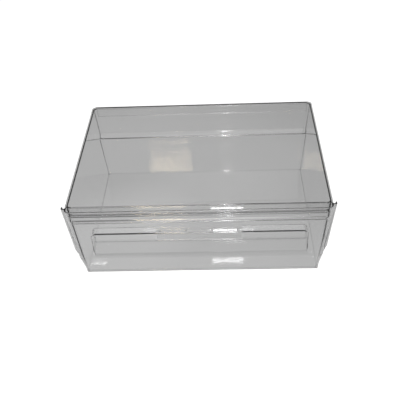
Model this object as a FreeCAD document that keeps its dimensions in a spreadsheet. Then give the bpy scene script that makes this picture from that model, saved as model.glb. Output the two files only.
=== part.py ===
import FreeCAD, Part
import os
import Sketcher

# Clear refrigerator crisper drawer, in millimetres, +Z up.
# The origin is the middle of the whole drawer in plan, on the surface that it stands on.
# The front, with the finger recess, faces -Y and the stepped rear wall faces +Y.
# Each piece is drawn from the foot of the bin's front wall and then shifted back by its Placement.

# Driving dimensions
SIZES = {
    # bin
    "bin_height": 165,
    "rim_width": 460,
    "side_rim": 2,
    "rear_rim": 3.8,
    "rim_thickness": 3,
    "floor_width": 434,
    "floor_length": 303,
    "front_lean": 4,
    "rear_lean": 2,
    "step_height": 103.5,
    "step_depth": 12.2,
    "bin_wall": 2.5,
    "floor_thickness": 2.5,
    "front_corner": 3,
    "rear_corner_low": 3,
    "rear_corner_high": 6,
    "corner_fill": 1.5,
    "floor_round": 1.2,
    "foot_round": 0.8,
    "step_fall": 5,
    "step_round": 2.5,
    "lip_thickness": 3.5,
    "lip_ledge": 4,
    "rim_corner": 9,
    "skirt_drop": 21.5,
    "skirt_end": 7.5,
    "skirt_thickness": 2.2,
    "rail_drop": 13.4,
    "rail_tall": 12.7,
    "rail_depth": 7.5,
    "rail_inset": 1.8,
    # front panel
    "panel_depth": 13,
    "panel_wall": 2.2,
    "panel_corner": 8,
    "seat_gap": 0.3,
    "chin_height": 52,
    "chin_foot": 2.1,
    "foot_clear": 2.5,
    "foot_solid": 5,
    "foot_corner": 1,
    "foot_inset": 3,
    "wing_reach": 6.3,
    "wing_low_reach": 5.2,
    "wing_standoff": 1.5,
    "wing_thickness": 3,
    "wing_return": 4,
    "wing_chamfer": 1.5,
    "wing_kink": 68,
    "wing_end": 0.3,
    "clip_rib": 2,
    "clip_gap": 0.3,
    "clip_bite": 2.5,
    # finger recess
    "recess_width": 380,
    "recess_low": 60.5,
    "recess_high": 111,
    "recess_rise": 4.2,
    "lip_rise": 5.5,
    "lip_depth": 3,
    "scoop_rise": 21.5,
    "recess_draw": 2,
    "recess_back_gap": 0.5,
    "recess_corner": 7,
    "recess_foot": 3,
    "return_wall": 2,
    # finger grip
    "grip_width": 158,
    "grip_drop": 17,
    "grip_wall": 2.4,
    "grip_inset": 1.2,
    "grip_reach": 9.5,
    "grip_gap": 0.1,
    "grip_corner": 4,
    "flange_inset": 3.5,
    "rib_pitch": 3.4,
    "rib_width": 1.4,
    "rib_depth": 0.7,
    "rib_root": 0.6,
    "peg_diameter": 3.5,
    "peg_rise": 1.5,
    "peg_pitch": 46,
    "peg_count": 4,
    "peg_clear": 0.05,
}

doc = FreeCAD.newDocument("crisper_drawer")
sheet = doc.addObject("Spreadsheet::Sheet", "sizes")
for row, (word, size) in enumerate(SIZES.items(), start=1):
    sheet.set(f"A{row}", word)
    sheet.set(f"B{row}", str(size))
    sheet.setAlias(f"B{row}", word)
doc.recompute()


def named(text):
    """Turn bare size words into references to the sheet."""
    words = sorted(SIZES, key=len, reverse=True)
    out = ""
    rest = text
    while rest:
        hit = next((word for word in words if rest.startswith(word)), None)
        if hit:
            out += "sizes." + hit
            rest = rest[len(hit):]
        else:
            out += rest[0]
            rest = rest[1:]
    return out


def number(text):
    """Value of an expression in the sheet's size words."""
    value = sheet.evalExpression(named(text))
    return float(getattr(value, "Value", value))


def new_body(label):
    body = doc.addObject("PartDesign::Body", label)
    body.Label = label
    return body


def new_sketch(body, name, role, offset):
    """Empty sketch on one of the body's own origin planes, moved along its normal."""
    plane = next(item for item in body.Origin.OriginFeatures if item.Role == role)
    sketch = body.newObject("Sketcher::SketchObject", name)
    sketch.AttachmentSupport = (plane, [""])
    sketch.MapMode = "FlatFace"
    sketch.setExpression("AttachmentOffset.Base.z", named(offset))
    return sketch


def place_point(sketch, geometry, end, x_text, y_text):
    """Tie one end of a line to named distances from the sketch's origin."""
    for kind, text in (("DistanceX", x_text), ("DistanceY", y_text)):
        if text is None:
            continue
        index = sketch.addConstraint(Sketcher.Constraint(kind, -1, 1, geometry, end, number(text)))
        sketch.setExpression(f"Constraints[{index}]", named(text))


def polygon(body, name, role, offset, points):
    """Closed outline of straight lines through named points."""
    sketch = new_sketch(body, name, role, offset)
    spots = [FreeCAD.Vector(number(x), number(y), 0) for x, y in points]
    count = len(spots)
    lines = [
        sketch.addGeometry(Part.LineSegment(spots[k], spots[(k + 1) % count]), False)
        for k in range(count)
    ]
    for k in range(count):
        sketch.addConstraint(Sketcher.Constraint("Coincident", lines[k], 2, lines[(k + 1) % count], 1))
    for line, (x, y) in zip(lines, points):
        place_point(sketch, line, 1, x, y)
    return sketch


def round_rect(body, name, role, offset, half, low, high, low_corner, high_corner):
    """Rectangle of half width `half`, from `low` to `high`, with its corners rounded."""
    sketch = new_sketch(body, name, role, offset)
    w, y0, y1 = number(half), number(low), number(high)
    r0, r1 = number(low_corner), number(high_corner)
    vector = FreeCAD.Vector
    runs = [
        (vector(-w + r0, y0, 0), vector(w - r0, y0, 0)),
        (vector(w, y0 + r0, 0), vector(w, y1 - r1, 0)),
        (vector(w - r1, y1, 0), vector(-w + r1, y1, 0)),
        (vector(-w, y1 - r1, 0), vector(-w, y0 + r0, 0)),
    ]
    lines = [sketch.addGeometry(Part.LineSegment(a, b), False) for a, b in runs]
    z_axis = vector(0, 0, 1)
    corners = [
        (vector(w - r0, y0 + r0, 0), r0, -90, low_corner),
        (vector(w - r1, y1 - r1, 0), r1, 0, high_corner),
        (vector(-w + r1, y1 - r1, 0), r1, 90, high_corner),
        (vector(-w + r0, y0 + r0, 0), r0, 180, low_corner),
    ]
    for k, (centre, radius, start, word) in enumerate(corners):
        turn = FreeCAD.Units.Quantity(f"{start} deg").getValueAs("rad").Value
        quarter = FreeCAD.Units.Quantity("90 deg").getValueAs("rad").Value
        circle = Part.Circle(centre, z_axis, radius)
        arc = sketch.addGeometry(Part.ArcOfCircle(circle, turn, turn + quarter), False)
        sketch.addConstraint(Sketcher.Constraint("Tangent", lines[k], 2, arc, 1))
        sketch.addConstraint(Sketcher.Constraint("Tangent", arc, 2, lines[(k + 1) % 4], 1))
        index = sketch.addConstraint(Sketcher.Constraint("Radius", arc, radius))
        sketch.setExpression(f"Constraints[{index}]", named(word))
    for line, kind in zip(lines, ("Horizontal", "Vertical", "Horizontal", "Vertical")):
        sketch.addConstraint(Sketcher.Constraint(kind, line))
    place_point(sketch, lines[0], 1, None, low)
    place_point(sketch, lines[2], 1, None, high)
    place_point(sketch, lines[1], 1, half, None)
    place_point(sketch, lines[3], 1, f"-({half})", None)
    return sketch


def loft(body, name, kind, sections):
    """Straight-sided loft through plan or front sections, added or cut."""
    feature = body.newObject(f"PartDesign::{kind}Loft", name)
    feature.Profile = sections[0]
    feature.Sections = sections[1:]
    feature.Ruled = True
    doc.recompute()
    return feature


def pad(body, name, sketch, length):
    """Pad along the sketch's normal by a named length."""
    feature = body.newObject("PartDesign::Pad", name)
    feature.Profile = sketch
    feature.setExpression("Length", named(length))
    doc.recompute()
    return feature


def across(body, name, kind, sketch, length):
    """Pad or pocket evenly to both sides of the sketch."""
    feature = body.newObject(f"PartDesign::{kind}", name)
    feature.Profile = sketch
    feature.SideType = "Symmetric"
    feature.setExpression("Length", named(length))
    doc.recompute()
    return feature


def round_spot(body, name, offset, radius, line):
    """Circle at the first peg's place in plan."""
    sketch = new_sketch(body, name, "XY_Plane", offset)
    x, y = f"-{PEG_RUN} / 2", line
    centre = FreeCAD.Vector(number(x), number(y), 0)
    circle = sketch.addGeometry(Part.Circle(centre, FreeCAD.Vector(0, 0, 1), number(radius)), False)
    index = sketch.addConstraint(Sketcher.Constraint("Radius", circle, number(radius)))
    sketch.setExpression(f"Constraints[{index}]", named(radius))
    place_point(sketch, circle, 3, x, y)
    return sketch


def repeat_across(body, name, feature, sketch, length, count):
    """Repeat a feature along +X, over a named length."""
    pattern = body.newObject("PartDesign::LinearPattern", name)
    pattern.Originals = [feature]
    pattern.Direction = (sketch, ["H_Axis"])
    pattern.setExpression("Length", named(length))
    pattern.setExpression("Occurrences", named(count))
    body.Tip = pattern
    doc.recompute()
    return pattern


def fillet(body, name, radius, picks):
    """Round the tip's edges for which picks(edge) is true."""
    shape = body.Tip.Shape
    edges = [f"Edge{k}" for k, edge in enumerate(shape.Edges, start=1) if picks(edge)]
    if not edges:
        raise RuntimeError(f"{name}: no edge found to round")
    feature = body.newObject("PartDesign::Fillet", name)
    feature.Base = (feature.BaseFeature or body.Tip, edges)
    feature.setExpression("Radius", named(radius))
    doc.recompute()
    return feature


def runs_along(edge, axis):
    """True for a straight edge parallel to the named axis."""
    if edge.Curve.TypeId != "Part::GeomLine":
        return False
    direction = edge.Curve.Direction
    return abs(getattr(direction, axis)) > 0.999


# Half widths and wall lines at a height, as expressions of the sizes
def wall_half(height):
    """Half width over the bin's side walls."""
    return f"(floor_width / 2 + ((rim_width - floor_width) / 2 - side_rim) * ({height}) / bin_height)"


def rim_half(height):
    """Half width of the front panel, in line with the side rims."""
    return f"(floor_width / 2 + (rim_width - floor_width) / 2 * ({height}) / bin_height)"


def front_line(height):
    """Outer face of the bin's front wall."""
    return f"(-front_lean * ({height}) / bin_height)"


def rear_line(height):
    """Outer face of the bin's rear wall below the step."""
    return f"(floor_length + rear_lean * ({height}) / bin_height)"


def rear_corner(height):
    """Corner radius of the rear wall, wider towards the rim."""
    return f"(rear_corner_low + (rear_corner_high - rear_corner_low) * ({height}) / bin_height)"


# Underside of the clip rail
RAIL_LOW = "(bin_height - rail_drop - rail_tall)"

# Face of the panel, and the recess's front and back planes counted forwards from the bin's foot
FRONT_FACE = "(-front_lean - panel_depth)"
FACE_LEVEL = "(front_lean + panel_depth)"
RECESS_TOP = "(recess_high + recess_rise)"
BACK_LEVEL = f"(front_lean * {RECESS_TOP} / bin_height + recess_back_gap)"


def ceiling(line):
    """Height of the recess's ceiling, which climbs inwards, at a distance in front of the bin's foot."""
    return f"(recess_high + recess_rise * ({FACE_LEVEL} + ({line})) / ({FACE_LEVEL} - {BACK_LEVEL}))"


GRIP_FRONT = f"(-{FACE_LEVEL} + grip_inset)"
PEG_LINE = f"({GRIP_FRONT} + (grip_wall + grip_reach) / 2)"
PEG_RUN = "((peg_count - 1) * peg_pitch)"

# Chords that stand for a quarter circle in the bin's lofts
CHORDS = 3


def quarter(k):
    """How far chord point k has gone along and up a quarter circle of radius 1, as two expressions."""
    angle = f"({k} * 90 deg / {CHORDS})"
    return f"(1 - cos({angle}))", f"(1 - sin({angle}))"


def build_bin():
    """Open tub with leaning walls, a stepped rear wall, a folded rim and the panel's clip rail."""
    body = new_body("bin")

    def section(name, height, inset, extra_rear, fill="0"):
        """Plan of the tub at a height, inset for the cavity, with the step's depth added above it.

        The cavity's upright corners are fuller than the outside's by a fill.
        """
        return round_rect(
            body,
            name,
            "XY_Plane",
            height,
            f"{wall_half(height)} - {inset}",
            f"{front_line(height)} + {inset}",
            f"{rear_line(height)} + {extra_rear} - {inset}",
            f"front_corner + {fill}",
            f"{rear_corner(height)} + {fill}",
        )

    # Outer form: below the step, the underside of its shelf, and above it
    shelf_under = "(step_height - floor_thickness)"
    lip = "(step_height - step_fall)"
    lower = []
    for k in range(CHORDS + 1):
        along, up = quarter(k)
        rise = f"foot_round * {along}"
        lower.append(section(f"outer_foot_{k}", rise, f"(foot_round * {up})", "0"))
    lip_under = f"({lip} - lip_thickness)"
    lower.append(section("outer_lip", lip_under, "0", "0"))
    loft(body, "lower_tub", "Additive", lower)
    step = [
        section("outer_ledge", lip_under, "0", "lip_ledge"),
        section("outer_shelf_back", shelf_under, "0", "step_depth"),
    ]
    loft(body, "step_tub", "Additive", step)
    upper = [
        section("outer_shelf", shelf_under, "0", "step_depth"),
        section("outer_top", "bin_height", "0", "step_depth"),
    ]
    loft(body, "upper_tub", "Additive", upper)

    # Rim flange, thin at the sides and deeper behind
    rim = round_rect(
        body,
        "rim_plan",
        "XY_Plane",
        "bin_height - rim_thickness",
        "rim_width / 2",
        "-front_lean",
        f"{rear_line('bin_height')} + step_depth + rear_rim",
        "front_corner",
        "rim_corner",
    )
    pad(body, "rim_flange", rim, "rim_thickness")

    # Skirt that turns down from the rear rim
    skirt_face = f"({rear_line('bin_height')} + step_depth + rear_rim)"
    skirt_half = "(rim_width / 2 - skirt_end)"
    skirt = polygon(
        body,
        "skirt_plan",
        "XY_Plane",
        "bin_height - skirt_drop",
        [
            (f"-{skirt_half}", f"{skirt_face} - skirt_thickness"),
            (skirt_half, f"{skirt_face} - skirt_thickness"),
            (skirt_half, skirt_face),
            (f"-{skirt_half}", skirt_face),
        ],
    )
    pad(body, "rear_skirt", skirt, "skirt_drop")

    # Rail across the front wall that the panel clips over
    rail_half = f"({wall_half(RAIL_LOW)} - rail_inset)"
    rail = polygon(
        body,
        "rail_plan",
        "XY_Plane",
        RAIL_LOW,
        [
            (f"-{rail_half}", "-front_lean - rail_depth"),
            (rail_half, "-front_lean - rail_depth"),
            (rail_half, f"{front_line(RAIL_LOW)} + bin_wall / 2"),
            (f"-{rail_half}", f"{front_line(RAIL_LOW)} + bin_wall / 2"),
        ],
    )
    pad(body, "clip_rail", rail, "rail_tall")

    # Hollow inside; chords of quarter circles round it into the floor and out over the step's lip,
    # and the step's shelf climbs from its lip to the upper rear wall
    hollow_low = []
    for k in range(CHORDS + 1):
        along, up = quarter(k)
        rise = f"floor_thickness + floor_round * {along}"
        inset = f"(bin_wall + floor_round * {up})"
        hollow_low.append(section(f"inner_floor_{k}", rise, inset, "0", "corner_fill"))
    for k in range(CHORDS + 1):
        along, up = quarter(k)
        out = f"step_round * {along}"
        rise = f"{lip} - step_round * {up}"
        hollow_low.append(section(f"inner_lip_{k}", rise, "bin_wall", out, "corner_fill"))
    hollow_low.append(section("inner_shelf_back", "step_height", "bin_wall", "step_depth", "corner_fill"))
    loft(body, "lower_hollow", "Subtractive", hollow_low)
    hollow_high = [
        section("inner_shelf", "step_height", "bin_wall", "step_depth", "corner_fill"),
        section("inner_top", "bin_height", "bin_wall", "step_depth", "corner_fill"),
    ]
    loft(body, "upper_hollow", "Subtractive", hollow_high)
    return body


def build_front_panel():
    """Moulded front that clips over the bin, with wings, a leaning chin and the recess surround."""
    body = new_body("front_panel")
    inside = f"({FRONT_FACE} + panel_wall)"

    def chin_share(height):
        """How far up the chin a height is, from 0 at its foot to 1 at the fold."""
        return f"((({height}) - foot_clear) / (chin_height - foot_clear))"

    def chin_half(height):
        """Half width of the chin, drawn in towards its foot."""
        return f"({rim_half(height)} - foot_inset * (1 - {chin_share(height)}))"

    def chin(height):
        """Front face of the chin at a height below the fold."""
        return f"(-chin_foot + ({FRONT_FACE} + chin_foot) * {chin_share(height)})"

    def plan(name, height, half, face, back, corner):
        return round_rect(body, name, "XY_Plane", height, half, face, back, corner, "foot_corner / 2")

    # Outer form: chin below the fold, upright face above it
    def outer(name, height, half, face, corner):
        back = f"{front_line(height)} - seat_gap"
        return plan(name, height, half, face, back, corner)

    foot, fold, top = "foot_clear", "chin_height", "bin_height"
    outside = [
        outer("panel_foot", foot, chin_half(foot), "(-chin_foot)", "foot_corner"),
        outer("panel_fold", fold, rim_half(fold), FRONT_FACE, "panel_corner"),
        outer("panel_top", top, rim_half(top), FRONT_FACE, "panel_corner"),
    ]
    loft(body, "panel_block", "Additive", outside)

    # Hollow behind the face, open to the bin
    def inner(name, height, half, face, corner):
        back = f"{front_line(height)} + panel_wall"
        return plan(name, height, f"{half} - panel_wall", f"({face}) + panel_wall", back, corner)

    low = "(foot_clear + foot_solid)"
    high = "(bin_height - panel_wall)"
    inner_corner = "panel_corner - panel_wall"
    hollow = [
        inner("hollow_foot", low, chin_half(low), chin(low), "foot_corner"),
        inner("hollow_fold", fold, rim_half(fold), FRONT_FACE, inner_corner),
        inner("hollow_top", high, rim_half(high), FRONT_FACE, inner_corner),
    ]
    loft(body, "panel_hollow", "Subtractive", hollow)

    # Wings beyond the side rims: a flat plate in front and a return along its outer edge,
    # nearly full size down to the kink and gone at the fold
    wing_back = "(-front_lean - wing_standoff)"
    wing_face = f"({wing_back} - wing_thickness)"

    def wing(name, side, height, reach):
        def beyond(far):
            return f"{side} * ({rim_half(height)} + {far})"

        edge = f"({reach})"
        lip = f"({reach} * (1 - panel_wall / wing_reach))"
        return polygon(
            body,
            name,
            "XY_Plane",
            height,
            [
                (beyond("(-panel_wall / 2)"), wing_face),
                (beyond(f"({reach} * (1 - wing_chamfer / wing_reach))"), wing_face),
                (beyond(edge), f"{wing_face} + wing_chamfer"),
                (beyond(edge), f"{wing_back} + wing_return"),
                (beyond(lip), f"{wing_back} + wing_return"),
                (beyond(lip), wing_back),
                (beyond("(-panel_wall / 2)"), wing_back),
            ],
        )

    for side, name in ((-1, "left_wing"), (1, "right_wing")):
        plans = [
            wing(f"{name}_top", side, top, "wing_reach"),
            wing(f"{name}_kink", side, "wing_kink", "wing_low_reach"),
            wing(f"{name}_end", side, fold, "wing_end"),
        ]
        loft(body, name, "Additive", plans)

    # Ribs that hold the bin's rail from above and below
    rib_half = "(rim_width / 2 - rail_inset - panel_corner)"
    rib_back = "(-front_lean - rail_depth + clip_bite)"
    rib_levels = {
        "upper_clip_rib": f"{RAIL_LOW} + rail_tall + clip_gap",
        "lower_clip_rib": f"{RAIL_LOW} - clip_gap - clip_rib",
    }
    for name, level in rib_levels.items():
        rib = polygon(
            body,
            f"{name}_plan",
            "XY_Plane",
            level,
            [
                (f"-{rib_half}", f"{inside} - panel_wall / 2"),
                (rib_half, f"{inside} - panel_wall / 2"),
                (rib_half, rib_back),
                (f"-{rib_half}", rib_back),
            ],
        )
        pad(body, name, rib, "clip_rib")

    # Surround of the finger recess, from the face back to the bin's wall
    def opening(name, level, grow, low, high, draw):
        return round_rect(
            body,
            name,
            "XZ_Plane",
            level,
            f"recess_width / 2 - {draw} + {grow}",
            f"{low} - {grow}",
            f"{high} + {grow}",
            f"recess_foot + {grow}",
            f"recess_corner + {grow}",
        )

    back_low = "(recess_low + scoop_rise)"
    lip_level = f"({FACE_LEVEL} - lip_depth)"
    lip_draw = f"recess_draw * lip_depth / ({FACE_LEVEL} - {BACK_LEVEL})"
    lip_low = "(recess_low + lip_rise)"
    lip_high = ceiling(f"-{lip_level}")

    def recess(name, grow):
        """Sections from the face over the rolled lower lip to the back, grown by a wall."""
        return [
            opening(f"{name}_face", FACE_LEVEL, grow, "recess_low", "recess_high", "0"),
            opening(f"{name}_lip", lip_level, grow, lip_low, lip_high, lip_draw),
            opening(f"{name}_back", BACK_LEVEL, grow, back_low, RECESS_TOP, "recess_draw"),
        ]

    loft(body, "recess_surround", "Additive", recess("surround", "return_wall"))
    loft(body, "recess_mouth", "Subtractive", recess("mouth", "0"))

    # The ceiling climbs inwards at both sides and is flat in the middle, where the grip hangs
    back_line = f"(-{BACK_LEVEL})"
    flat_width = "(grip_width - 2 * flange_inset)"
    flat_top = "(recess_high + return_wall)"
    infill = polygon(
        body,
        "flat_infill_profile",
        "YZ_Plane",
        "0",
        [
            (FRONT_FACE, "recess_high"),
            (back_line, "recess_high"),
            (back_line, f"{RECESS_TOP} + return_wall / 2"),
            (FRONT_FACE, "recess_high + return_wall / 2"),
        ],
    )
    across(body, "flat_infill", "Pad", infill, flat_width)
    relief = polygon(
        body,
        "flat_relief_profile",
        "YZ_Plane",
        "0",
        [
            (inside, flat_top),
            (f"{back_line} + return_wall", flat_top),
            (f"{back_line} + return_wall", f"{flat_top} + 2 * recess_rise"),
            (inside, f"{flat_top} + 2 * recess_rise"),
        ],
    )
    across(body, "flat_relief", "Pocket", relief, flat_width)

    # Holes in the ceiling for the grip's pegs
    hole = round_spot(
        body, "peg_hole_plan", f"{flat_top} + peg_rise", "peg_diameter / 2 + peg_clear", PEG_LINE
    )
    before = body.Tip.Shape.Volume
    cut = body.newObject("PartDesign::Pocket", "peg_hole")
    cut.Profile = hole
    cut.setExpression("Length", named("2 * (return_wall + peg_rise)"))
    doc.recompute()
    if cut.Shape.Volume >= before:
        raise RuntimeError("the peg hole cuts nothing")
    repeat_across(body, "peg_holes", cut, hole, PEG_RUN, "peg_count")
    return body


def build_finger_grip():
    """Ribbed lip that hangs from the middle of the recess's ceiling."""
    body = new_body("finger_grip")
    back = f"({GRIP_FRONT} + grip_reach)"
    lip_back = f"({GRIP_FRONT} + grip_wall)"
    foot = "(recess_high - grip_drop)"

    ceiling_level = "(recess_high - grip_gap)"
    under_flange = f"({ceiling_level} - grip_wall)"

    lip = polygon(
        body,
        "lip_profile",
        "YZ_Plane",
        "0",
        [
            (GRIP_FRONT, ceiling_level),
            (lip_back, ceiling_level),
            (lip_back, foot),
            (GRIP_FRONT, foot),
        ],
    )
    across(body, "grip_lip", "Pad", lip, "grip_width")
    flange = polygon(
        body,
        "flange_profile",
        "YZ_Plane",
        "0",
        [
            (GRIP_FRONT, ceiling_level),
            (back, ceiling_level),
            (back, under_flange),
            (GRIP_FRONT, under_flange),
        ],
    )
    across(body, "grip_flange", "Pad", flange, "grip_width - 2 * flange_inset")

    lip_end = number("grip_width / 2")
    flange_end = number("grip_width / 2 - flange_inset")
    back_line = number(back)
    foot_level = number(foot)
    fillet(
        body,
        "flange_corners",
        "grip_corner",
        lambda edge: abs(abs(edge.CenterOfMass.x) - flange_end) < 0.01
        and runs_along(edge, "z")
        and abs(edge.CenterOfMass.y - back_line) < 0.01,
    )
    fillet(
        body,
        "lip_corners",
        "grip_corner",
        lambda edge: abs(abs(edge.CenterOfMass.x) - lip_end) < 0.01
        and runs_along(edge, "y")
        and abs(edge.CenterOfMass.z - foot_level) < 0.01,
    )

    # Upright ribs on the side that the fingers pull on
    rib_run = "(floor((grip_width - 2 * grip_corner - rib_width) / rib_pitch) * rib_pitch)"
    rib_left = f"(-{rib_run} / 2 - rib_width / 2)"
    rib = polygon(
        body,
        "rib_plan",
        "XY_Plane",
        f"{foot} + grip_wall",
        [
            (rib_left, f"{lip_back} - rib_root"),
            (f"({rib_left} + rib_width)", f"{lip_back} - rib_root"),
            (f"({rib_left} + rib_width)", f"{lip_back} + rib_depth"),
            (rib_left, f"{lip_back} + rib_depth"),
        ],
    )
    first = pad(body, "rib", rib, "grip_drop - 2 * grip_wall")
    repeat_across(body, "ribs", first, rib, rib_run, f"{rib_run} / rib_pitch + 1")

    # Pegs that pass up through the ceiling
    spot = round_spot(body, "peg_plan", f"{ceiling_level} - grip_wall / 2", "peg_diameter / 2", PEG_LINE)
    peg = pad(body, "peg", spot, "grip_wall / 2 + grip_gap + return_wall + peg_rise")
    repeat_across(body, "pegs", peg, spot, PEG_RUN, "peg_count")
    return body


def finish(bodies):
    """Shift every piece so that the drawer's middle is the origin, and check all of them."""
    depth = "(floor_length + rear_lean + step_depth + rear_rim - front_lean - panel_depth)"
    for body in bodies:
        body.setExpression("Placement.Base.y", named(f"-{depth} / 2"))
    doc.recompute()
    for item in doc.Objects:
        if "Invalid" in item.State or "Error" in item.State:
            raise RuntimeError(f"{item.Name}: {item.State}")
    for body in bodies:
        if body.Shape.isNull() or not body.Shape.isValid():
            raise RuntimeError(f"{body.Label}: bad shape")
        if len(body.Shape.Solids) != 1:
            raise RuntimeError(f"{body.Label}: {len(body.Shape.Solids)} solids")


pieces = [build_bin(), build_front_panel(), build_finger_grip()]
finish(pieces)
os.makedirs("parts", exist_ok=True)
for piece in pieces:
    piece.Shape.exportStep(f"parts/{piece.Label}.step")
    box = piece.Shape.BoundBox
    corners = (box.XMin, box.XMax, box.YMin, box.YMax, box.ZMin, box.ZMax)
    print(piece.Label, "volume", round(piece.Shape.Volume), "box", [round(value, 2) for value in corners])
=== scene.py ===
import math

import bmesh
import bpy
import numpy as np
from mathutils import Matrix, Vector


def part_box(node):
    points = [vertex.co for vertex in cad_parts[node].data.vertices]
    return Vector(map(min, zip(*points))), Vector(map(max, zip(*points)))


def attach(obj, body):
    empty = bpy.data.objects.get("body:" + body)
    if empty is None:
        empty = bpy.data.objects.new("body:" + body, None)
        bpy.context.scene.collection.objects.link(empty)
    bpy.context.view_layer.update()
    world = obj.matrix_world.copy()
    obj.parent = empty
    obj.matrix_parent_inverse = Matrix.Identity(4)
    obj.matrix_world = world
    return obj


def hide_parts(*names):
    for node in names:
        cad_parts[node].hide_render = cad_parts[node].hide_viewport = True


bl_info = {
    "name": "Crisper Drawer",
    "version": (1, 0, 0),
    "blender": (4, 5, 0),
    "location": "View3D > Sidebar > Crisper",
    "description": "Finishes the clear mouldings of a refrigerator drawer and sets its studio",
    "category": "Object",
}

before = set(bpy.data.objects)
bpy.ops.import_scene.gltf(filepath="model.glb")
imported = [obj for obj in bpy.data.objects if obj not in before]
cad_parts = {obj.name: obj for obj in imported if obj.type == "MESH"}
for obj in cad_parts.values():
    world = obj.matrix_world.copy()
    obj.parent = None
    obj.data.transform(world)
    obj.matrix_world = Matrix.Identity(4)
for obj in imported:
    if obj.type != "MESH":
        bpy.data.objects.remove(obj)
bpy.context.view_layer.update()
BODY = "root"
# Points of the skins nearer than this are one point, in metres
JOIN_DISTANCE = 0.00001
# Turns between faces: under the first they are one flat face, over the second the edge is rounded, and
# over the third it is shaded as a crease
FLAT_TURN = math.radians(0.3)
EDGE_TURN = math.radians(40)
SMOOTH_TURN = math.radians(50)
# Faces of the arc along a rounded edge, the profile that makes it round, and how far its shading leans
# to the larger faces, of 100
ARC_FACES = 2
ROUND_PROFILE = 0.5
LARGE_FACE_PULL = 100

REFRACTIVE_INDEX = 1.5
# Share of the light that passes a wall on its way into a shadow
SHADOW_CLEARNESS = 0.86
# Depth of the slow waves that the melt leaves in a wall, in metres
FLOW_DEPTH = 0.00001
# Cells per metre of the waves, the haze, the specks and the scratches, which run along X
FLOW_CELLS = 22.0
HAZE_CELLS = 16.0
SPECK_CELLS = 900.0
SCRATCH_CELLS = (40.0, 700.0, 700.0)
# Roughness that haze and specks add at most
HAZE_ROUGHNESS = 0.03
SPECK_ROUGHNESS = 0.02


# Shader wiring

class Wire:
    """One output socket; arithmetic on it adds Math nodes to its board."""

    def __init__(self, board, socket):
        self.board = board
        self.socket = socket

    def __add__(self, other):
        return self.board.maths("ADD", self, other)

    def __sub__(self, other):
        return self.board.maths("SUBTRACT", self, other)

    def __rsub__(self, other):
        return self.board.maths("SUBTRACT", other, self)

    def __mul__(self, other):
        return self.board.maths("MULTIPLY", self, other)

    def __truediv__(self, other):
        return self.board.maths("DIVIDE", self, other)

    def __rtruediv__(self, other):
        return self.board.maths("DIVIDE", other, self)

    __radd__ = __add__
    __rmul__ = __mul__


class Board:
    """The node tree of one material or of the world."""

    def __init__(self, owner):
        owner.use_nodes = True
        self.tree = owner.node_tree
        self.tree.nodes.clear()

    def node(self, kind, output=0, settings=None, **inputs):
        """Add a node, set its own settings first, then fill its sockets with values or wires."""
        item = self.tree.nodes.new("ShaderNode" + kind)
        for name, value in (settings or {}).items():
            if name == "stops":
                self.fill_ramp(item.color_ramp, value)
            else:
                setattr(item, name, value)
        for name, value in inputs.items():
            key = int(name[1:]) if name[0] == "_" else name.replace("_", " ")
            socket = item.inputs[key]
            if isinstance(value, Wire):
                self.tree.links.new(value.socket, socket)
            else:
                socket.default_value = value
        if output is None:
            return item
        return Wire(self, item.outputs[output])

    def maths(self, operation, first, second=0.0):
        """Add a Math node for one operation on one or two numbers."""
        return self.node("Math", settings={"operation": operation}, _0=first, _1=second)

    def ramp(self, stops, place):
        """Tone between the two stops on either side of a place, in proportion to its way between them."""
        return self.node("ValToRGB", settings={"stops": stops}, Fac=place)

    def by_ray(self, plain, mirrored, passed, seen):
        """Shader that the camera meets as seen, a ray through the plastic as passed, a ray off a glossy
        surface as mirrored, and any other as plain."""
        picked = plain
        for kind, shader in (("Glossy", mirrored), ("Transmission", passed), ("Camera", seen)):
            is_kind = self.node("LightPath", f"Is {kind} Ray")
            picked = self.node("MixShader", _0=is_kind, _1=picked, _2=shader)
        return picked

    @staticmethod
    def fill_ramp(ramp, stops):
        """Give a ramp its stops, each a place from 0 to 1 and a tone."""
        while len(ramp.elements) < len(stops):
            ramp.elements.new(1.0)
        for element, (place, tone) in zip(ramp.elements, stops):
            element.position = place
            element.color = grey(tone)


def grey(tone):
    """Colour whose red, green and blue are one tone."""
    return (tone, tone, tone, 1.0)


# Stage. Ramps are pairs of a place from 0 to 1 and a tone there.

# Brightness of the sky that the plastic mirrors, from the front horizon over the zenith to the rear one
SKY = (
    (0.0, 0.1), (0.03, 0.1), (0.06, 0.9), (0.15, 0.8), (0.18, 0.08), (0.25, 0.06), (0.3, 0.4), (0.35, 0.7),
    (0.42, 0.7), (0.48, 0.9), (0.56, 0.9), (0.62, 0.4), (0.68, 0.05), (0.73, 0.05), (0.77, 0.6), (0.85, 0.9),
    (0.95, 0.8), (1.0, 0.4),
)
# How far the sky counts as behind the drawer, by a direction's backward part from -1 at 0 to 1 at 1
SKY_REAR = ((0.5, 0.0), (0.75, 1.0))
# How the sky behind the drawer fades with a direction's sideways part
SKY_ASIDE = ((0.0, 1.0), (0.08, 0.8), (0.16, 0.3), (0.3, 0.15))
# Painted pool of light: how the glow of the floor under and in the plastic fades with the distance from
# its brightest place, up to FADE_LENGTH metres away
PAINTED_POOL_FALL = (
    (0.0, 1.0), (0.03, 0.96), (0.075, 0.826), (0.145, 0.81), (0.21, 0.777), (0.27, 0.684), (0.6, 0.417),
    (1.0, 0.334),
)
BRIGHTEST_PLACE = (-0.14, -0.02, 0.0)
FADE_LENGTH = 2.0
# Half the floor's side, and how far it lies below the drawer's feet so that no two faces meet
FLOOR_REACH = 6.0
FLOOR_DROP = 0.0005
# The floor's colour, and for the camera its own glow and the tone on which the shadow falls
FLOOR_TONE = 0.8
FLOOR_GLOW = 0.78
SHADOW_TONE = 0.32
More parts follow.
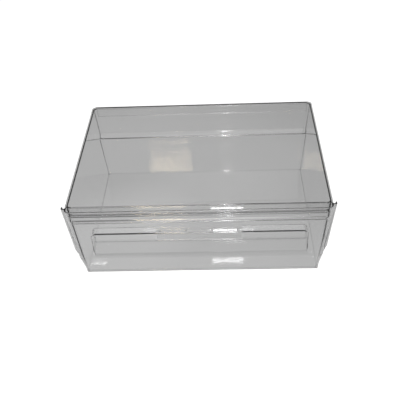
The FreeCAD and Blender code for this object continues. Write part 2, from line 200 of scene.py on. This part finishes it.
# Name, place, target, width and length in metres, power in watts and colour
LAMPS = (
    ("warm_board", (-0.27, -1.65, 1.23), (0, 0, 0.1), (0.23, 0.2), 1.8, (1.0, 0.84, 0.58)),
    ("rear_board", (0.05, 1.339, 1.505), (0.05, -0.125, 0), (0.16, 0.03), 0.23, (1.0, 1.0, 1.0)),
    ("upper_strip", (0.05, -0.873, 1.674), (0.05, 0, 0.1), (0.04, 0.9), 12.0, (1.0, 1.0, 1.0)),
    ("soft_board", (-0.08, -0.873, 1.674), (-0.08, 0, 0.1), (0.5, 0.5), 4.2, (1.0, 1.0, 1.0)),
    ("overhead", (0.1, -0.1, 1.8), (0.1, -0.1, 0), (0.9, 0.5), 1.2, (1.0, 0.98, 0.95)),
)
# Camera: place in metres, turns in radians and width of its frame in millimetres
CAMERA_PLACE = (0.0504, -0.9565, 0.8554)
CAMERA_YAW = 0.0571
CAMERA_PITCH = 0.7025
CAMERA_ROLL = -0.0578
FRAME_WIDTH = 36.0


# Sizes and finishes that a user would change

class MouldingFinish(bpy.types.PropertyGroup):
    """Finish of one clear moulding."""

    tint: bpy.props.FloatVectorProperty(
        name="Tint",
        description="Colour that a thick piece of the plastic shows",
        subtype="COLOR",
        size=3,
        min=0.0,
        max=1.0,
        default=(0.46, 0.47, 0.48),
    )
    density: bpy.props.FloatProperty(
        name="Density",
        description="How fast light is taken up along its way inside the plastic, per metre",
        default=8.0,
        min=0.0,
    )
    polish: bpy.props.FloatProperty(
        name="Roughness",
        description="Roughness of the moulded surface",
        default=0.01,
        min=0.0,
        max=1.0,
        subtype="FACTOR",
    )
    edge: bpy.props.FloatProperty(
        name="Edge radius",
        description="Rounding of the moulding's outer edges",
        default=0.0004,
        min=0.0,
        subtype="DISTANCE",
        unit="LENGTH",
    )
    wear: bpy.props.FloatProperty(
        name="Wear",
        description="Depth of fine handling scratches",
        default=0.0000005,
        min=0.0,
        subtype="DISTANCE",
        unit="LENGTH",
    )


class StudioSettings(bpy.types.PropertyGroup):
    """Camera, backdrop, floor and daylight."""

    lens: bpy.props.FloatProperty(
        name="Lens",
        description="Focal length of the camera on a 36 mm wide frame, in millimetres",
        default=55.8,
        min=1.0,
        unit="CAMERA",
    )
    backdrop: bpy.props.FloatProperty(
        name="Backdrop",
        description="Brightness of the backdrop where the camera sees it directly",
        default=1.0,
        min=0.0,
    )
    # Painted light: strength of the floor's glow where it is seen through the plastic, times the painted
    # pool's ramp
    seen_through: bpy.props.FloatProperty(
        name="Seen through",
        description="Brightness of the floor where it is seen through the plastic",
        default=0.526,
        min=0.0,
    )
    # Painted reflection: strength of the floor's glow in the plastic's reflections, times the painted pool's
    # ramp
    mirrored: bpy.props.FloatProperty(
        name="Mirrored",
        description="Brightness of the floor in the plastic's reflections",
        default=1.434,
        min=0.0,
    )
    daylight: bpy.props.FloatProperty(
        name="Daylight",
        description="Strength of the even light from all sides",
        default=0.7,
        min=0.0,
    )


def moulded_clear(name, finish):
    """Clear moulded plastic: a glassy surface over a body that takes up light along its way, so that
    edges seen end on come out darker than walls. The surface's height is the sum of slow waves and
    scratches, each a noise times its depth, and its roughness is the polish plus specks and haze."""
    material = bpy.data.materials.new(name)
    board = Board(material)
    place = board.node("TexCoord", "Object")
    flow = board.node("TexNoise", "Fac", Vector=place, Scale=FLOW_CELLS, Detail=1.0)
    stretched = board.node("Mapping", settings={"vector_type": "POINT"}, Vector=place, Scale=SCRATCH_CELLS)
    scratch = board.node("TexNoise", "Fac", Vector=stretched, Scale=1.0, Detail=3.0)
    specks = board.node("TexNoise", "Fac", Vector=place, Scale=SPECK_CELLS, Detail=2.0)
    haze = board.node("TexNoise", "Fac", Vector=place, Scale=HAZE_CELLS, Detail=3.0)
    height = flow * FLOW_DEPTH + scratch * finish.wear
    bump = board.node("Bump", Height=height, Strength=1.0, Distance=1.0)
    surface = board.node(
        "BsdfPrincipled",
        Base_Color=grey(1.0),
        Roughness=specks * SPECK_ROUGHNESS + haze * HAZE_ROUGHNESS + finish.polish,
        IOR=REFRACTIVE_INDEX,
        Transmission_Weight=1.0,
        Normal=bump,
    )
    shadow_ray = board.node("LightPath", "Is Shadow Ray")
    pass_through = board.node("BsdfTransparent", Color=grey(SHADOW_CLEARNESS))
    mixed = board.node("MixShader", _0=shadow_ray, _1=surface, _2=pass_through)
    body = board.node("VolumeAbsorption", Color=(*finish.tint, 1.0), Density=finish.density)
    board.node("OutputMaterial", None, Surface=mixed, Volume=body)
    return material


def keep_in_box(mesh, box):
    """Bring each point that lies outside a box onto its nearest side: x = min(max(x, low), high)."""
    points = np.empty(3 * len(mesh.vertices), dtype=np.float32)
    mesh.vertices.foreach_get("co", points)
    inside = np.clip(points.reshape(-1, 3), *np.array(box, dtype=np.float32))
    mesh.vertices.foreach_set("co", inside.ravel())
    mesh.update()


def eased_skin(node, radius):
    """Skin of a CAD node with its triangles joined into whole faces. An edge where the surface turns by
    more than EDGE_TURN gets an arc tangent to both faces, starting one radius away from the edge, and
    the normals are the faces' own ones weighted by area, so flat walls stay flat."""
    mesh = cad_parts[node].data.copy()
    mesh.name = f"{node}_skin"
    skin = bmesh.new()
    skin.from_mesh(mesh)
    bmesh.ops.remove_doubles(skin, verts=skin.verts, dist=JOIN_DISTANCE)
    bmesh.ops.dissolve_limit(skin, angle_limit=FLAT_TURN, verts=skin.verts, edges=skin.edges)
    sharp = [edge for edge in skin.edges if edge.is_manifold and edge.calc_face_angle() > EDGE_TURN]
    bmesh.ops.bevel(
        skin, geom=sharp, offset=radius, segments=ARC_FACES, profile=ROUND_PROFILE, affect="EDGES",
        clamp_overlap=False,
    )
    bmesh.ops.triangulate(skin, faces=skin.faces)
    skin.to_mesh(mesh)
    skin.free()
    keep_in_box(mesh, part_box(node))
    mesh.shade_smooth()
    mesh.set_sharp_from_angle(angle=SMOOTH_TURN)
    piece = bpy.data.objects.new(f"{node}_skin", mesh)
    bpy.context.scene.collection.objects.link(piece)
    even = piece.modifiers.new("even_faces", "WEIGHTED_NORMAL")
    even.keep_sharp = True
    even.weight = LARGE_FACE_PULL
    return piece


def dress(node, finish):
    """Stand an eased skin in for a CAD node, with the given finish as its clear material, and hide the node.
    """
    piece = eased_skin(node, finish.edge)
    piece.data.materials.clear()
    piece.data.materials.append(moulded_clear(f"{node}_clear", finish))
    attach(piece, BODY)
    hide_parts(node)


class CRISPER_OT_finish_bin(bpy.types.Operator):
    """Finish the bin as a clear moulding"""

    bl_idname = "crisper.finish_bin"
    bl_label = "Finish bin"

    def execute(self, context):
        dress("bin", context.scene.crisper_bin)
        return {"FINISHED"}


class CRISPER_OT_finish_front_panel(bpy.types.Operator):
    """Finish the front panel as a clear moulding"""

    bl_idname = "crisper.finish_front_panel"
    bl_label = "Finish front panel"

    def execute(self, context):
        dress("front_panel", context.scene.crisper_panel)
        return {"FINISHED"}


class CRISPER_OT_finish_finger_grip(bpy.types.Operator):
    """Finish the finger grip as a clear moulding"""

    bl_idname = "crisper.finish_finger_grip"
    bl_label = "Finish finger grip"

    def execute(self, context):
        dress("finger_grip", context.scene.crisper_grip)
        return {"FINISHED"}


def glow(board, strength):
    """White surface that shines by itself."""
    return board.node("Emission", Color=grey(1.0), Strength=strength)


def area_lamp(name, place, target, size, power, colour):
    """Rectangular lamp whose way out points from its place to its target."""
    data = bpy.data.lights.new(name, "AREA")
    data.shape = "RECTANGLE"
    data.size, data.size_y = size
    data.energy = power
    data.color = colour
    lamp = bpy.data.objects.new(name, data)
    lamp.location = place
    lamp.rotation_euler = (Vector(target) - Vector(place)).to_track_quat("-Z", "Y").to_euler()
    bpy.context.scene.collection.objects.link(lamp)


class CRISPER_OT_build_stage(bpy.types.Operator):
    """Set the floor, the daylight, the lamps and the camera"""

    bl_idname = "crisper.build_stage"
    bl_label = "Build stage"

    def execute(self, context):
        studio = context.scene.crisper_studio
        self.lay_floor(studio)
        self.light(context.scene, studio)
        self.stand_camera(context.scene, studio)
        return {"FINISHED"}

    @staticmethod
    def lay_floor(studio):
        """Square floor. Under and in the plastic it glows with its brightness times the ramp of distance
        from its brightest place over the fade length. This is a painted pool of light, seen through the
        plastic and in its reflections. Elsewhere it takes the drawer's shadow."""
        mesh = bpy.data.meshes.new("floor")
        reach = FLOOR_REACH
        corners = [(-reach, -reach, 0), (reach, -reach, 0), (reach, reach, 0), (-reach, reach, 0)]
        mesh.from_pydata(corners, [], [(0, 1, 2, 3)])
        floor = bpy.data.objects.new("floor", mesh)
        floor.location.z = -FLOOR_DROP
        bpy.context.scene.collection.objects.link(floor)
        material = bpy.data.materials.new("pale_floor")
        board = Board(material)
        place = board.node("TexCoord", "Object")
        away = board.node(
            "VectorMath", "Value", settings={"operation": "DISTANCE"}, _0=place, _1=BRIGHTEST_PLACE
        )
        # Painted pool of light: the floor's glow falls off with the distance from its brightest place
        painted_pool = board.ramp(PAINTED_POOL_FALL, away / FADE_LENGTH)
        shaded = board.node("BsdfDiffuse", Color=grey(SHADOW_TONE))
        # Painted light: rays through the plastic and off it meet this glowing floor, not a lit one
        surface = board.by_ray(
            plain=board.node("BsdfDiffuse", Color=grey(FLOOR_TONE)),
            mirrored=glow(board, painted_pool * studio.mirrored),
            passed=glow(board, painted_pool * studio.seen_through),
            seen=board.node("AddShader", _0=shaded, _1=glow(board, FLOOR_GLOW)),
        )
        board.node("OutputMaterial", None, Surface=surface)
        mesh.materials.append(material)

    @staticmethod
    def light(scene, studio):
        """Even daylight, with a sky for the plastic to mirror. The sky's ramp runs with the turn from the
        front horizon over the zenith, the angle of the direction's upward part over its forward part,
        as a share of half a circle. Behind the drawer it is dimmed to both sides: the brightness is
        times 1 - rear * (1 - aside)."""
        world = bpy.data.worlds.new("daylight")
        scene.world = world
        board = Board(world)
        direction = board.node("TexCoord", "Generated")
        across, along, up = (board.node("SeparateXYZ", axis, Vector=direction) for axis in "XYZ")
        turn = board.maths("ARCTAN2", up, along * -1.0) / math.pi
        sky = board.ramp(SKY, turn)
        aside = board.ramp(SKY_ASIDE, board.maths("ABSOLUTE", across))
        rear = board.ramp(SKY_REAR, along * 0.5 + 0.5)
        dimming = 1.0 - rear * (1.0 - aside)
        shown = board.node("Background", Color=sky * dimming, Strength=1.0)
        surface = board.by_ray(
            plain=board.node("Background", Color=grey(1.0), Strength=studio.daylight),
            mirrored=shown,
            passed=shown,
            seen=board.node("Background", Color=grey(1.0), Strength=studio.backdrop),
        )
        board.node("OutputWorld", None, Surface=surface)
        for lamp in LAMPS:
            area_lamp(*lamp)

    @staticmethod
    def stand_camera(scene, studio):
        """Camera turned by yaw about Z, tipped down by pitch and rolled about its own axis."""
        turn = Matrix.Rotation(CAMERA_YAW, 3, "Z")
        forward = turn @ Vector((0.0, math.cos(CAMERA_PITCH), -math.sin(CAMERA_PITCH)))
        right = turn @ Vector((1.0, 0.0, 0.0))
        up = right.cross(forward)
        level = math.cos(CAMERA_ROLL) * right + math.sin(CAMERA_ROLL) * up
        upright = math.cos(CAMERA_ROLL) * up - math.sin(CAMERA_ROLL) * right
        data = bpy.data.cameras.new("camera")
        data.sensor_width = FRAME_WIDTH
        data.lens = studio.lens
        camera = bpy.data.objects.new("camera", data)
        grid = Matrix((level, upright, -forward)).transposed()
        camera.matrix_world = Matrix.Translation(CAMERA_PLACE) @ grid.to_4x4()
        scene.collection.objects.link(camera)
        scene.camera = camera
        scene.view_settings.view_transform = "Standard"


OPERATORS = (
    CRISPER_OT_finish_bin,
    CRISPER_OT_finish_front_panel,
    CRISPER_OT_finish_finger_grip,
    CRISPER_OT_build_stage,
)


class CRISPER_PT_pieces(bpy.types.Panel):
    """Sidebar list of the drawer's pieces and its studio"""

    bl_idname = "CRISPER_PT_pieces"
    bl_label = "Crisper drawer"
    bl_space_type = "VIEW_3D"
    bl_region_type = "UI"
    bl_category = "Crisper"

    def draw(self, context):
        for operator in OPERATORS:
            self.layout.operator(operator.bl_idname)


CLASSES = (MouldingFinish, StudioSettings, *OPERATORS, CRISPER_PT_pieces)
SETTINGS = {
    "crisper_bin": MouldingFinish,
    "crisper_panel": MouldingFinish,
    "crisper_grip": MouldingFinish,
    "crisper_studio": StudioSettings,
}


def register():
    for item in CLASSES:
        bpy.utils.register_class(item)
    for name, group in SETTINGS.items():
        setattr(bpy.types.Scene, name, bpy.props.PointerProperty(type=group))


def unregister():
    for name in SETTINGS:
        delattr(bpy.types.Scene, name)
    for item in reversed(CLASSES):
        bpy.utils.unregister_class(item)


def main():
    """Build the stage and the pieces."""
    register()
    bpy.ops.crisper.build_stage()
    bpy.ops.crisper.finish_bin()
    bpy.ops.crisper.finish_front_panel()
    bpy.ops.crisper.finish_finger_grip()


if __name__ == "__main__":
    main()
